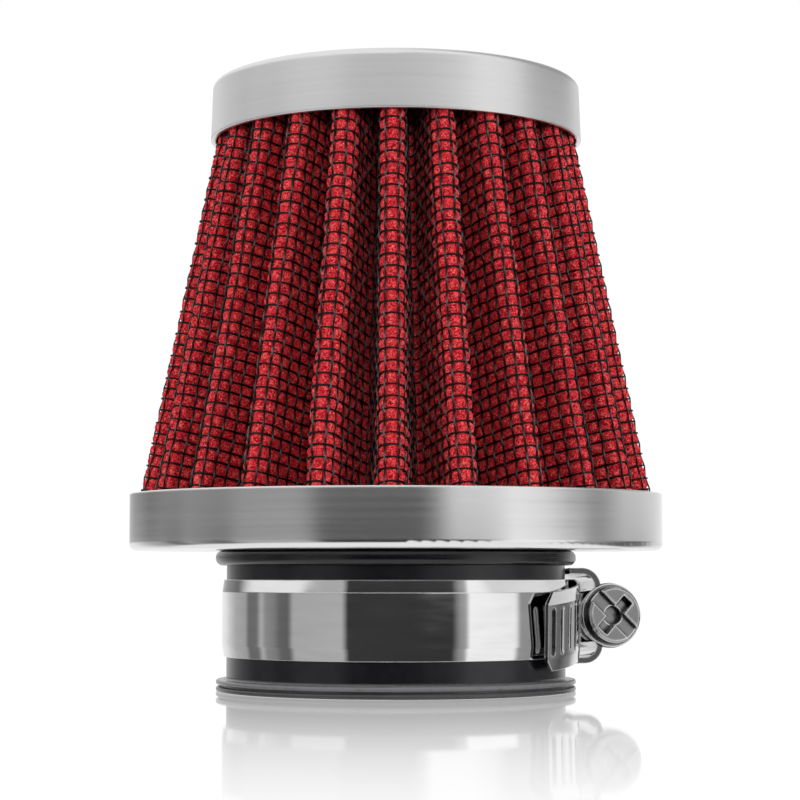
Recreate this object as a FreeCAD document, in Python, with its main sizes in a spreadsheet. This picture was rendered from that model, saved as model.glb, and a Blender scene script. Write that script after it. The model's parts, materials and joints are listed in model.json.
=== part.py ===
"""Cone air filter for a motorcycle intake: pleated gauze pack, metal end caps, rubber neck, worm-drive clamp.

Millimetres. The origin is the centre of the neck's mouth, +Z runs up the filter's axis to the closed end.
The clamp's screw sits on the +X side and faces -Y. A bearing is an angle about Z, measured from -Y towards +X.
"""

import FreeCAD, Part
import math
import os

import Sketcher

SIZES = {
    # neck: a moulded rubber sleeve with a bead under the cup, a lip pair at the mouth, and a flange in the cup
    "bore_radius": 19.5,
    "neck_radius": 23.85,
    "lip_radius": 25.3,
    "lip_groove_radius": 24.5,
    "lip_thickness": 0.68,
    "lip_gap": 0.28,
    "bead_radius": 25.4,
    "bead_thickness": 2.1,
    "flange_radius": 27.0,
    "flange_thickness": 2.0,
    "neck_height": 19.6,
    # base cup: a pressed metal ring, its floor held in the neck's groove
    "cup_radius": 37.5,
    "cup_depth": 7.9,
    "cup_hole_radius": 22.4,
    "sheet": 0.7,
    # cap: a pressed metal cup over the small end
    "cap_rim_radius": 26.45,
    "cap_crown_radius": 26.15,
    "cap_rim_level": 77.75,
    "cap_crown_level": 85.95,
    # cast resin that holds the ends of the pleats
    "base_resin_level": 26.8,
    "base_resin_bore": 23.2,
    "cap_resin_level": 79.6,
    "cap_resin_radius": 25.35,
    # pleated pack: outer radii of the ridges and of the folds between them, at the two ends
    "pleats": 23,
    "pack_low_level": 25.0,
    "pack_top_level": 82.4,
    "ridge_low_radius": 36.5,
    "ridge_top_radius": 24.58,
    "fold_low_radius": 25.95,
    "fold_top_radius": 14.4,
    "ridge_round": 1.65,
    "fold_round": 0.3,
    "mesh_thickness": 0.3,
    "gauze_thickness": 0.2,
    "ply_gap": 0.015,
    "resin_gap": 0.02,
    # clamp strip: a ring, a riser that lifts its free end over its fixed end, a lap and a tail
    "band_level": 10.2,
    "band_half_width": 5.35,
    "band_half_flat": 3.65,
    "band_thickness": 0.6,
    "band_edge": 0.36,
    "band_gap": 0.06,
    "lap_gap": 1.0,
    "riser_lift": 5.2,
    "tail_lift": 0.65,
    "tail_step": 0.05,
    "tail_droop": 5.3,
    "tail_corner": 1.5,
    "slot_reach": 2.7,
    "slot_radius": 0.6,
    "slot_pitch": 2.6,
    # housing that carries the worm screw
    "housing_bearing": 110.0,
    "housing_half_length": 5.5,
    "housing_tilt": 3.5,
    "housing_drop": 0.15,
    "housing_foot": 24.6,
    "housing_shoulder": 29.4,
    "housing_half_width": 6.8,
    "housing_sheet": 0.85,
    "shoulder_round": 2.8,
    "channel_round": 1.95,
    "dome_radius": 4.65,
    "cavity_radius": 4.2,
    "screw_offset": 30.65,
    # screw
    "worm_radius": 4.05,
    "worm_root_radius": 2.9,
    "tooth_root": 0.65,
    "tooth_tip": 0.35,
    "worm_reach": 4.1,
    "running_gap": 0.06,
    "end_gap": 0.1,
    "journal_radius": 1.5,
    "collar_radius": 4.55,
    "collar_thickness": 0.5,
    "head_radius": 4.0,
    "head_thickness": 1.5,
    "head_bevel": 0.3,
    "drive_slot_half": 1.0,
    "drive_slot_depth": 0.9,
    "drive_arm_half": 0.8,
    "drive_arm_reach": 3.0,
    "drive_arm_depth": 1.3,
    "drive_well_radius": 1.35,
    "drive_well_depth": 2.1,
    "drive_edge": 0.16,
    "drive_turn": -44.0,
}

# Where each stretch of the clamp strip starts, and how far it runs towards smaller bearings, in degrees.
RING_START, RING_SWEEP = 122.0, 310.0
RISER_START, RISER_SWEEP = 172.0, 41.5
LAP_START, LAP_SWEEP = 124.0, 28.0
TAIL_START, TAIL_SWEEP = 97.5, 45.1
RIDGE_BEARING = -0.8

UP = FreeCAD.Vector(0, 0, 1)

doc = FreeCAD.newDocument("air_filter")
sheet = doc.addObject("Spreadsheet::Sheet", "Sizes")


def fill_sheet():
    for row, (name, size) in enumerate(SIZES.items(), start=1):
        sheet.set(f"A{row}", name)
        sheet.set(f"B{row}", str(size))
        sheet.setAlias(f"B{row}", name)
    doc.recompute()


def number(formula):
    """The value of a sum such as "cup_radius - sheet"."""
    total = 0.0
    sign = 1
    for word in formula.split():
        if word in "+-":
            sign = 1 if word == "+" else -1
            continue
        total += sign * (SIZES[word] if word in SIZES else float(word))
    return total


def expression(formula):
    """The same sum, written for the spreadsheet."""
    return " ".join(f"Sizes.{word}" if word in SIZES else word for word in formula.split())


def new_body(label):
    body = doc.addObject("PartDesign::Body", label)
    body.Label = label
    return body


def origin_feature(body, role):
    return next(item for item in body.Origin.OriginFeatures if item.Role == role)


def new_sketch(body, name, role="XY_Plane", place=None):
    """A sketch on one of the body's own planes; place, in the body's frame, moves it off that plane."""
    sketch = body.newObject("Sketcher::SketchObject", name)
    plane = origin_feature(body, role)
    sketch.AttachmentSupport = [(plane, "")]
    sketch.MapMode = "FlatFace"
    if place is not None:
        sketch.AttachmentOffset = plane.Placement.inverse().multiply(place)
    return sketch


def pin_point(sketch, geometry, end, across, along):
    """Ties one end of a sketch line to the sketch's origin by two sums of cells."""
    for kind, formula, axis in (("DistanceX", across, -2), ("DistanceY", along, -1)):
        value = number(formula)
        if abs(value) < 1e-9:
            sketch.addConstraint(Sketcher.Constraint("PointOnObject", geometry, end, axis))
            continue
        index = sketch.addConstraint(Sketcher.Constraint(kind, -1, 1, geometry, end, value))
        sketch.setExpression(f"Constraints[{index}]", expression(formula))


def outline(sketch, corners):
    """A closed outline of straight sides through corners, each a pair of sums of cells."""
    points = [FreeCAD.Vector(number(across), number(along), 0) for across, along in corners]
    following = points[1:] + points[:1]
    sides = [sketch.addGeometry(Part.LineSegment(a, b)) for a, b in zip(points, following)]
    for side, after in zip(sides, sides[1:] + sides[:1]):
        sketch.addConstraint(Sketcher.Constraint("Coincident", side, 2, after, 1))
    for side, (across, along) in zip(sides, corners):
        pin_point(sketch, side, 1, across, along)
    return sketch


def circle(sketch, radius):
    """A circle about the sketch's origin."""
    item = sketch.addGeometry(Part.Circle(FreeCAD.Vector(), UP, number(radius)))
    sketch.addConstraint(Sketcher.Constraint("Coincident", item, 3, -1, 1))
    index = sketch.addConstraint(Sketcher.Constraint("Radius", item, number(radius)))
    sketch.setExpression(f"Constraints[{index}]", expression(radius))
    return sketch


def revolve(body, name, sketch, angle=360.0, kind="Revolution", reverse=False):
    """Turns a sketch about its own vertical axis."""
    feature = body.newObject(f"PartDesign::{kind}", name)
    feature.Profile = (sketch, [""])
    feature.ReferenceAxis = (sketch, ["V_Axis"])
    feature.Angle = angle
    feature.Reversed = reverse
    doc.recompute()
    return feature


def pad(body, name, sketch, length, midplane=False):
    feature = body.newObject("PartDesign::Pad", name)
    feature.Profile = (sketch, [""])
    feature.Midplane = midplane
    feature.setExpression("Length", expression(length))
    doc.recompute()
    return feature


def pocket(body, name, sketch, length, midplane=False, reverse=False):
    """Cuts a sketch into the body and stops if it cut nothing."""
    before = body.Shape.Volume
    feature = body.newObject("PartDesign::Pocket", name)
    feature.Profile = (sketch, [""])
    feature.Midplane = midplane
    feature.Reversed = reverse
    feature.setExpression("Length", expression(length))
    doc.recompute()
    if feature.Shape.Volume > before - 1e-3:
        raise RuntimeError(f"{name} cuts nothing")
    return feature


def round_edges(body, name, size, chosen, kind="Fillet"):
    """Rounds or bevels the edges of the body's last feature that chosen accepts."""
    base = body.Tip
    edges = [f"Edge{i}" for i, edge in enumerate(base.Shape.Edges, start=1) if chosen(edge)]
    if not edges:
        raise RuntimeError(f"{name} finds no edge")
    feature = body.newObject(f"PartDesign::{kind}", name)
    feature.Base = (base, edges)
    if kind == "Fillet":
        feature.Radius = size
    else:
        feature.Size = size
    doc.recompute()
    return feature


def hoop(radius, level):
    """Accepts the full circles of a turned piece at a radius and a height."""
    def accepts(edge):
        if not isinstance(edge.Curve, Part.Circle):
            return False
        return (abs(edge.Curve.Radius - number(radius)) < 1e-3
                and abs(edge.Curve.Center.z - number(level)) < 1e-3)
    return accepts


def make_top_cap():
    body = new_body("top_cap")
    section = outline(new_sketch(body, "cap_section", "XZ_Plane"), [
        ("0", "cap_crown_level"),
        ("cap_crown_radius", "cap_crown_level"),
        ("cap_rim_radius", "cap_rim_level"),
        ("cap_rim_radius - sheet", "cap_rim_level"),
        ("cap_crown_radius - sheet", "cap_crown_level - sheet"),
        ("0", "cap_crown_level - sheet"),
    ])
    revolve(body, "cap_shell", section)
    round_edges(body, "cap_shoulder", 0.9, hoop("cap_crown_radius", "cap_crown_level"))
    round_edges(body, "cap_rim", 0.2, hoop("cap_rim_radius", "cap_rim_level"))
    return body


def make_base_ring():
    body = new_body("base_ring")
    section = outline(new_sketch(body, "cup_section", "XZ_Plane"), [
        ("cup_hole_radius", "neck_height"),
        ("cup_radius", "neck_height"),
        ("cup_radius", "neck_height + cup_depth"),
        ("cup_radius - sheet", "neck_height + cup_depth"),
        ("cup_radius - sheet", "neck_height + sheet"),
        ("cup_hole_radius", "neck_height + sheet"),
    ])
    revolve(body, "cup_shell", section)
    round_edges(body, "cup_corner", 1.0, hoop("cup_radius", "neck_height"))
    round_edges(body, "cup_inner_corner", 0.3, hoop("cup_radius - sheet", "neck_height + sheet"))
    round_edges(body, "cup_rim", 0.2, hoop("cup_radius", "neck_height + cup_depth"))
    return body


def make_rubber_neck():
    body = new_body("rubber_neck")
    section = outline(new_sketch(body, "neck_section", "XZ_Plane"), [
        ("bore_radius", "0"),
        ("lip_radius", "0"),
        ("lip_radius", "lip_thickness"),
        ("lip_groove_radius", "lip_thickness"),
        ("lip_groove_radius", "lip_thickness + lip_gap"),
        ("lip_radius", "lip_thickness + lip_gap"),
        ("lip_radius", "lip_thickness + lip_gap + lip_thickness"),
        ("neck_radius", "lip_thickness + lip_gap + lip_thickness"),
        ("neck_radius", "neck_height - bead_thickness"),
        ("bead_radius", "neck_height - bead_thickness"),
        ("bead_radius", "neck_height"),
        ("cup_hole_radius", "neck_height"),
        ("cup_hole_radius", "neck_height + sheet"),
        ("flange_radius", "neck_height + sheet"),
        ("flange_radius", "neck_height + sheet + flange_thickness"),
        ("bore_radius", "neck_height + sheet + flange_thickness"),
    ])
    revolve(body, "neck_sleeve", section)
    bead_low = hoop("bead_radius", "neck_height - bead_thickness")
    bead_top = hoop("bead_radius", "neck_height")
    round_edges(body, "bead_round", 1.0, lambda edge: bead_low(edge) or bead_top(edge))
    lips = [hoop("lip_radius", level) for level in (
        "0", "lip_thickness", "lip_thickness + lip_gap", "lip_thickness + lip_gap + lip_thickness")]
    round_edges(body, "lip_rounds", 0.3, lambda edge: any(lip(edge) for lip in lips))
    round_edges(body, "neck_root", 0.4, hoop("neck_radius", "lip_thickness + lip_gap + lip_thickness"))
    round_edges(body, "mouth_round", 0.5, hoop("bore_radius", "0"))
    return body


def pleat_side(ridge_radius, fold_radius, inset):
    """The curves of one pleat at one level, from fold to fold over the ridge on +X.

    inset is how far the curve lies under the pack's outer face. The arcs at the ridge and the folds keep
    their centres, so every ply has the same spacing all round.
    """
    half_step = math.pi / SIZES["pleats"]
    ridge_arc = SIZES["ridge_round"] - inset
    fold_arc = SIZES["fold_round"] + inset
    ridge_centre = ridge_radius - SIZES["ridge_round"]
    fold_centre = fold_radius + SIZES["fold_round"]
    across = fold_centre * math.sin(half_step)
    along = fold_centre * math.cos(half_step) - ridge_centre
    reach = math.hypot(along, across)
    normal = math.atan2(across, along) - math.acos((SIZES["ridge_round"] + SIZES["fold_round"]) / reach)

    def polar(centre, radius, angle):
        return FreeCAD.Vector(centre[0] + radius * math.cos(angle), centre[1] + radius * math.sin(angle), 0)

    def fold(sign):
        centre = (fold_centre * math.cos(half_step), sign * fold_centre * math.sin(half_step))
        seam_angle = sign * (half_step + math.pi)
        flank_angle = sign * (normal + math.pi)
        return [polar(centre, fold_arc, angle)
                for angle in (seam_angle, (seam_angle + flank_angle) / 2, flank_angle)]

    lower = fold(-1)
    upper = fold(1)
    start = polar((ridge_centre, 0.0), ridge_arc, -normal)
    crown = polar((ridge_centre, 0.0), ridge_arc, 0.0)
    finish = polar((ridge_centre, 0.0), ridge_arc, normal)
    curves = [
        Part.Arc(*lower),
        Part.LineSegment(lower[2], start),
        Part.Arc(start, crown, finish),
        Part.LineSegment(finish, upper[2]),
        Part.Arc(upper[2], upper[1], upper[0]),
    ]
    return curves, lower[0], upper[0]


def pleat_sketch(body, name, level, ridge_radius, fold_radius, outer_inset, inner_inset):
    """The cut face of one pleat of a ply, on a plane at a level of the pack."""
    place = FreeCAD.Placement(FreeCAD.Vector(0, 0, SIZES[level]), FreeCAD.Rotation())
    sketch = new_sketch(body, name, "XY_Plane", place)
    sketch.setExpression(".AttachmentOffset.Base.z", expression(level))
    outer, outer_first, outer_last = pleat_side(SIZES[ridge_radius], SIZES[fold_radius], outer_inset)
    inner, inner_first, inner_last = pleat_side(SIZES[ridge_radius], SIZES[fold_radius], inner_inset)
    seams = [Part.LineSegment(outer_last, inner_last), Part.LineSegment(inner_first, outer_first)]
    for curve in outer + inner + seams:
        sketch.addGeometry(curve)
    return sketch


def make_ply(label, outer_inset, inner_inset):
    """One pleated layer of the cone: a single pleat lofted from end to end, repeated round the axis."""
    body = new_body(label)
    low = pleat_sketch(body, f"{label}_low", "pack_low_level", "ridge_low_radius", "fold_low_radius",
                       outer_inset, inner_inset)
    top = pleat_sketch(body, f"{label}_top", "pack_top_level", "ridge_top_radius", "fold_top_radius",
                       outer_inset, inner_inset)
    doc.recompute()
    pleat = body.newObject("PartDesign::AdditiveLoft", f"{label}_pleat")
    pleat.Profile = (low, [""])
    pleat.Sections = [(top, [""])]
    pleat.Ruled = True
    doc.recompute()
    ring = body.newObject("PartDesign::PolarPattern", f"{label}_pleats")
    ring.Originals = [pleat]
    ring.Axis = (origin_feature(body, "Z_Axis"), [""])
    ring.Angle = 360
    ring.setExpression("Occurrences", expression("pleats"))
    body.Tip = ring
    body.Placement = FreeCAD.Placement(FreeCAD.Vector(), FreeCAD.Rotation(UP, RIDGE_BEARING - 90.0))
    doc.recompute()
    return body


def make_pack():
    """The plies from outside to inside: wire cloth, four layers of cotton gauze, wire cloth."""
    layers = [("outer_wire_mesh", "mesh_thickness")]
    layers += [(f"gauze_ply_{index}", "gauze_thickness") for index in range(1, 5)]
    layers += [("inner_wire_mesh", "mesh_thickness")]
    plies = []
    inset = 0.0
    for label, thickness in layers:
        plies.append(make_ply(label, inset, inset + SIZES[thickness]))
        inset += SIZES[thickness] + SIZES["ply_gap"]
    groove = make_ply("pack_groove", -SIZES["resin_gap"], inset - SIZES["ply_gap"] + SIZES["resin_gap"])
    return plies, groove


def make_resin(label, corners, groove):
    """A cast ring or disc, with the groove that the pack's end stands in."""
    body = new_body(f"{label}_casting")
    revolve(body, f"{label}_turned", outline(new_sketch(body, f"{label}_section", "XZ_Plane"), corners))
    cut = doc.addObject("Part::Cut", label)
    cut.Base = body
    cut.Tool = groove
    cut.Label = label
    doc.recompute()
    return cut


def make_base_resin(groove):
    return make_resin("base_resin", [
        ("flange_radius", "neck_height + sheet"),
        ("cup_radius - sheet - 0.35", "neck_height + sheet"),
        ("cup_radius - sheet", "neck_height + sheet + 0.35"),
        ("cup_radius - sheet", "base_resin_level"),
        ("base_resin_bore", "base_resin_level"),
        ("base_resin_bore", "neck_height + sheet + flange_thickness"),
        ("flange_radius", "neck_height + sheet + flange_thickness"),
    ], groove)


def make_cap_resin(groove):
    return make_resin("cap_resin", [
        ("0", "cap_resin_level"),
        ("cap_resin_radius", "cap_resin_level"),
        ("cap_resin_radius", "cap_crown_level - sheet"),
        ("0", "cap_crown_level - sheet"),
    ], groove)


def outward(bearing):
    """The unit vector that points away from the axis at a bearing in degrees."""
    angle = math.radians(bearing)
    return FreeCAD.Vector(math.sin(angle), -math.cos(angle), 0)


def strip_place(bearing, shift=0.0, tilt=0.0):
    """A frame whose X points outward at a bearing, Y points up and Z runs towards smaller bearings.

    shift moves it back along X, and tilt leans it about X so that Z dips.
    """
    across = outward(bearing)
    upright = FreeCAD.Placement(across * -shift, FreeCAD.Rotation(across, UP, FreeCAD.Vector(), "XYZ"))
    lean = FreeCAD.Placement(FreeCAD.Vector(), FreeCAD.Rotation(FreeCAD.Vector(1, 0, 0), tilt))
    return upright.multiply(lean)


def strip_run(body, name, place, radius, sweep):
    """A stretch of strip bent about the Y axis of place, with its outer edges pressed back."""
    sketch = outline(new_sketch(body, f"{name}_section", "XZ_Plane", place), [
        (radius, "0 - band_half_width"),
        (f"{radius} + band_edge", "0 - band_half_width"),
        (f"{radius} + band_thickness", "0 - band_half_flat"),
        (f"{radius} + band_thickness", "band_half_flat"),
        (f"{radius} + band_edge", "band_half_width"),
        (radius, "band_half_width"),
    ])
    revolve(body, name, sketch, sweep, reverse=True)
    return sketch


def slot_row(body, name, place, section, radius, first, count):
    """Slots for the worm, cut through a stretch of strip at the screw's pitch, starting first degrees along it."""
    turn = FreeCAD.Placement(FreeCAD.Vector(), FreeCAD.Rotation(FreeCAD.Vector(0, 1, 0), -first))
    depth = number("band_thickness + 0.02")
    facing_out = FreeCAD.Rotation(FreeCAD.Vector(0, 0, -1), FreeCAD.Vector(0, 1, 0), FreeCAD.Vector(1, 0, 0))
    skin = FreeCAD.Placement(FreeCAD.Vector(number(radius) + depth, 0, 0), facing_out)
    sketch = new_sketch(body, f"{name}_outline", "XY_Plane", place.multiply(turn).multiply(skin))
    reach, half = SIZES["slot_reach"], SIZES["slot_radius"]
    corner = [FreeCAD.Vector(x * half, y * reach, 0) for x, y in ((1, -1), (1, 1), (-1, 1), (-1, -1))]
    top, foot = FreeCAD.Vector(0, reach + half, 0), FreeCAD.Vector(0, -reach - half, 0)
    for curve in (Part.LineSegment(corner[0], corner[1]), Part.Arc(corner[1], top, corner[2]),
                  Part.LineSegment(corner[2], corner[3]), Part.Arc(corner[3], foot, corner[0])):
        sketch.addGeometry(curve)
    cut = pocket(body, name, sketch, "band_thickness + 0.02")
    row = body.newObject("PartDesign::PolarPattern", f"{name}_row")
    row.Originals = [cut]
    row.Axis = (section, ["V_Axis"])
    row.Reversed = True
    row.Angle = math.degrees(SIZES["slot_pitch"] / number(f"{radius} + band_thickness")) * (count - 1)
    row.Occurrences = count
    body.Tip = row
    doc.recompute()
    if row.Shape.Volume > cut.Shape.Volume - 1e-3:
        raise RuntimeError(f"{name}_row cuts nothing")


def make_clamp_band():
    body = new_body("clamp_band")
    ring_radius = "neck_radius + band_gap"
    lap_radius = f"{ring_radius} + band_thickness + lap_gap"
    riser_place = strip_place(RISER_START, SIZES["riser_lift"])
    tail_place = strip_place(TAIL_START, number("tail_lift + tail_step"), SIZES["tail_droop"])
    riser_radius = f"{ring_radius} + riser_lift"
    tail_radius = f"{lap_radius} + tail_lift"
    strip_run(body, "ring", strip_place(RING_START), ring_radius, RING_SWEEP)
    riser = strip_run(body, "riser", riser_place, riser_radius, RISER_SWEEP)
    strip_run(body, "lap", strip_place(LAP_START), lap_radius, LAP_SWEEP)
    tail = strip_run(body, "tail", tail_place, tail_radius, TAIL_SWEEP)
    tip = tail_place.multiply(FreeCAD.Placement(
        FreeCAD.Vector(), FreeCAD.Rotation(FreeCAD.Vector(0, 1, 0), -TAIL_SWEEP)))

    def tip_corner(edge):
        middle = tip.inverse().multVec(edge.CenterOfMass)
        return abs(middle.z) < 1e-3 and abs(abs(middle.y) - SIZES["band_half_width"]) < 1e-3

    round_edges(body, "tail_corners", SIZES["tail_corner"], tip_corner, kind="Chamfer")
    slot_row(body, "riser_slot", riser_place, riser, riser_radius, 4.0, 8)
    slot_row(body, "tail_slot", tail_place, tail, tail_radius, 3.4, 8)
    body.Placement = FreeCAD.Placement(FreeCAD.Vector(0, 0, SIZES["band_level"]), FreeCAD.Rotation())
    return body


def screw_place():
    """The frame of the worm screw: X points outward, Z runs along the screw towards its head."""
    level = FreeCAD.Placement(FreeCAD.Vector(0, 0, number("band_level - housing_drop")), FreeCAD.Rotation())
    return level.multiply(strip_place(SIZES["housing_bearing"], -SIZES["screw_offset"], -SIZES["housing_tilt"]))


def axial_place(height, turn=0.0):
    """A plane square to the screw at a height along it."""
    return FreeCAD.Placement(FreeCAD.Vector(0, 0, number(height)), FreeCAD.Rotation(UP, turn))


def along_screw(across, upright):
    """Accepts the straight edges parallel to the screw at one distance outward and one half width."""
    def accepts(edge):
        middle = edge.CenterOfMass
        straight = isinstance(edge.Curve, Part.Line) and abs(abs(edge.Curve.Direction.z) - 1) < 1e-6
        return (straight and abs(middle.x - number(across)) < 1e-3
                and abs(abs(middle.y) - number(upright)) < 1e-3)
    return accepts


def make_clamp_housing():
    """A pressed shell: a dome over the worm on a saddle that straddles both laps of the strip."""
    body = new_body("clamp_housing")
    shoulder = "housing_shoulder - screw_offset"
    saddle = outline(new_sketch(body, "saddle_section"), [
        ("housing_foot - screw_offset", "0 - housing_half_width"),
        (shoulder, "0 - housing_half_width"),
        (shoulder, "housing_half_width"),
        ("housing_foot - screw_offset", "housing_half_width"),
    ])
    pad(body, "saddle", saddle, "housing_half_length + housing_half_length", midplane=True)
    round_edges(body, "saddle_shoulders", SIZES["shoulder_round"],
                along_screw(shoulder, "housing_half_width"))
    dome = circle(new_sketch(body, "dome_section"), "dome_radius")
    pad(body, "dome", dome, "housing_half_length + housing_half_length", midplane=True)
    ceiling = "housing_shoulder - housing_sheet - screw_offset"
    channel = outline(new_sketch(body, "channel_section"), [
        ("housing_foot - screw_offset - 2", "0 - housing_half_width + housing_sheet"),
        (ceiling, "0 - housing_half_width + housing_sheet"),
        (ceiling, "housing_half_width - housing_sheet"),
        ("housing_foot - screw_offset - 2", "housing_half_width - housing_sheet"),
    ])
    pocket(body, "channel", channel, "housing_half_length + housing_half_length + 2", midplane=True)
    round_edges(body, "channel_corners", SIZES["channel_round"],
                along_screw(ceiling, "housing_half_width - housing_sheet"))
    cavity = circle(new_sketch(body, "cavity_section", place=axial_place("housing_half_length")), "cavity_radius")
    pocket(body, "cavity", cavity, "housing_half_length + housing_half_length - housing_sheet")
    journal = circle(new_sketch(body, "journal_section", place=axial_place("0")), "journal_radius + running_gap")
    pocket(body, "journal_hole", journal, "housing_half_length + 1")
    body.Placement = screw_place()
    return body


def make_clamp_screw():
    """A worm with a journal at the far end, a shoulder in the housing's mouth, a collar and a driven head."""
    body = new_body("clamp_screw")
    far_wall = "0 - housing_half_length + housing_sheet"
    section = outline(new_sketch(body, "screw_section", "XZ_Plane"), [
        ("0", "0 - housing_half_length - collar_thickness"),
        ("journal_radius", "0 - housing_half_length - collar_thickness"),
        ("journal_radius", f"{far_wall} + end_gap"),
        ("worm_root_radius", f"{far_wall} + end_gap"),
        ("worm_root_radius", "worm_reach"),
        ("cavity_radius - running_gap", "worm_reach"),
        ("cavity_radius - running_gap", "housing_half_length + end_gap"),
        ("collar_radius", "housing_half_length + end_gap"),
        ("collar_radius", "housing_half_length + end_gap + collar_thickness"),
        ("head_radius", "housing_half_length + end_gap + collar_thickness"),
        ("head_radius", "housing_half_length + end_gap + collar_thickness + head_thickness"),
        ("0", "housing_half_length + end_gap + collar_thickness + head_thickness"),
    ])
    revolve(body, "screw_blank", section)
    face = "housing_half_length + end_gap + collar_thickness + head_thickness"
    round_edges(body, "head_bevel", SIZES["head_bevel"], hoop("head_radius", face), kind="Chamfer")
    turn = SIZES["drive_turn"]
    slot = outline(new_sketch(body, "drive_slot_outline", place=axial_place(face, turn)), [
        ("0 - head_radius - 1", "0 - drive_slot_half"),
        ("head_radius + 1", "0 - drive_slot_half"),
        ("head_radius + 1", "drive_slot_half"),
        ("0 - head_radius - 1", "drive_slot_half"),
    ])
    pocket(body, "drive_slot", slot, "drive_slot_depth")
    arm = outline(new_sketch(body, "drive_arm_outline", place=axial_place(face, turn)), [
        ("0 - drive_arm_half", "0 - drive_arm_reach"),
        ("drive_arm_half", "0 - drive_arm_reach"),
        ("drive_arm_half", "drive_arm_reach"),
        ("0 - drive_arm_half", "drive_arm_reach"),
    ])
    pocket(body, "drive_arm", arm, "drive_arm_depth")
    well = circle(new_sketch(body, "drive_well_outline", place=axial_place(face)), "drive_well_radius")
    pocket(body, "drive_well", well, "drive_well_depth")

    def recess_edge(edge):
        outline_arc = isinstance(edge.Curve, Part.Circle) and edge.Curve.Radius > number("drive_arm_reach")
        return abs(edge.CenterOfMass.z - number(face)) < 1e-3 and not outline_arc

    round_edges(body, "drive_edges", SIZES["drive_edge"], recess_edge, kind="Chamfer")
    tooth = outline(new_sketch(body, "tooth_section", "XZ_Plane"), [
        ("worm_root_radius - 0.1", f"{far_wall} + slot_pitch - tooth_root"),
        ("worm_radius", f"{far_wall} + slot_pitch - tooth_tip"),
        ("worm_radius", f"{far_wall} + slot_pitch + tooth_tip"),
        ("worm_root_radius - 0.1", f"{far_wall} + slot_pitch + tooth_root"),
    ])
    doc.recompute()
    worm = body.newObject("PartDesign::AdditiveHelix", "worm")
    worm.Profile = (tooth, [""])
    worm.ReferenceAxis = (tooth, ["V_Axis"])
    worm.Mode = "pitch-height-angle"
    worm.setExpression("Pitch", expression("slot_pitch"))
    worm.setExpression("Height", expression("worm_reach + housing_half_length - slot_pitch - slot_pitch"))
    doc.recompute()
    body.Placement = screw_place()
    return body


def check_document():
    """Stops if any object failed, or if a piece is missing or broken."""
    doc.recompute()
    failed = [item.Label for item in doc.Objects if {"Invalid", "Error"} & set(item.State)]
    if failed:
        raise RuntimeError(f"failed objects: {failed}")


def write_parts(pieces):
    os.makedirs("parts", exist_ok=True)
    for piece in pieces:
        shape = piece.Shape
        if shape.isNull() or not shape.isValid():
            raise RuntimeError(f"{piece.Label} has no valid shape")
        shape.exportStep(f"parts/{piece.Label}.step")
        print(f"{piece.Label}: {len(shape.Solids)} solid, {shape.Volume:.1f} mm3")


def main():
    fill_sheet()
    plies, groove = make_pack()
    pieces = [make_top_cap(), make_cap_resin(groove), make_base_resin(groove), make_base_ring(),
              make_rubber_neck(), make_clamp_band(), make_clamp_housing(), make_clamp_screw()]
    check_document()
    write_parts(pieces + plies)


main()
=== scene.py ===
"""A cone air filter: woven wire over red cotton pleats, satin caps, a rubber neck and a worm-drive clamp.

Lengths are in metres, and MM turns millimetres into metres. The pack's heights and radii, and the screw's
axis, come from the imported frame.
"""

import json
import math

import bpy
import numpy as np
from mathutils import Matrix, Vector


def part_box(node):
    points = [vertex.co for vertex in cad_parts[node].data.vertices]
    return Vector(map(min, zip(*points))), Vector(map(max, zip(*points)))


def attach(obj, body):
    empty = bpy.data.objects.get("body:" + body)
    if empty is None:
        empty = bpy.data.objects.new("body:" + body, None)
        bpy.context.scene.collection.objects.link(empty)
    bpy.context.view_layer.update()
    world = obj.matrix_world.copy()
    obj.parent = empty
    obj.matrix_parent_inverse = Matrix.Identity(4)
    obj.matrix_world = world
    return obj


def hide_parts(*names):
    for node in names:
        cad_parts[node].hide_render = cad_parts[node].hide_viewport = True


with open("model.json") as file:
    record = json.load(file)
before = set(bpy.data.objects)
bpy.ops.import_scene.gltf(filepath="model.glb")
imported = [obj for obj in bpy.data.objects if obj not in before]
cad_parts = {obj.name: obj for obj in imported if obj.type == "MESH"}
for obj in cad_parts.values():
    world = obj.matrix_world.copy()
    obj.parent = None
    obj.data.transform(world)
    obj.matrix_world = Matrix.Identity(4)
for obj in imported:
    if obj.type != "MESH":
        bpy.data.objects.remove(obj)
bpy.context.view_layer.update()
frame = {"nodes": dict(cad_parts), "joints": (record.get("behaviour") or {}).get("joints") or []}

MM = 0.001
SEED = 705

# The pleated pack, as the frame's design has it. The bearing is that of the ridge nearest the front, in
# degrees.
PLEATS = 23
RIDGE_BEARING = -0.8
RIDGE_ROUND = 1.65 * MM
FOLD_ROUND = 0.3 * MM
MESH_THICKNESS = 0.3 * MM

# How far the free part of a ridge strays: outwards, and round the axis in degrees. The waves are counted
# round the pack, and drift with height.
RIDGE_STRAY = 0.16 * MM
BEARING_STRAY = 0.45
STRAY_WAVES = (3, 5, 8, 11)
STRAY_DRIFT = 1.6

# How far under the pack's outer face each visible layer lies.
GAUZE_DEPTH = 0.32 * MM
BACKING_DEPTHS = (0.55 * MM, 1.05 * MM)
INNER_WIRE_DEPTH = 1.32 * MM

# The cotton's puff through a cell of the wire cloth, how much that varies, and the fuzz on each sheet.
PUFF = 0.44 * MM
PUFF_RANGE = (0.7, 1.25)
PUFF_FULLNESS = 0.6
GAUZE_FUZZ = 0.035 * MM
BACKING_FUZZ = 0.04 * MM
GAUZE_SAMPLES = 4
BACKING_SAMPLES = 2

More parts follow.
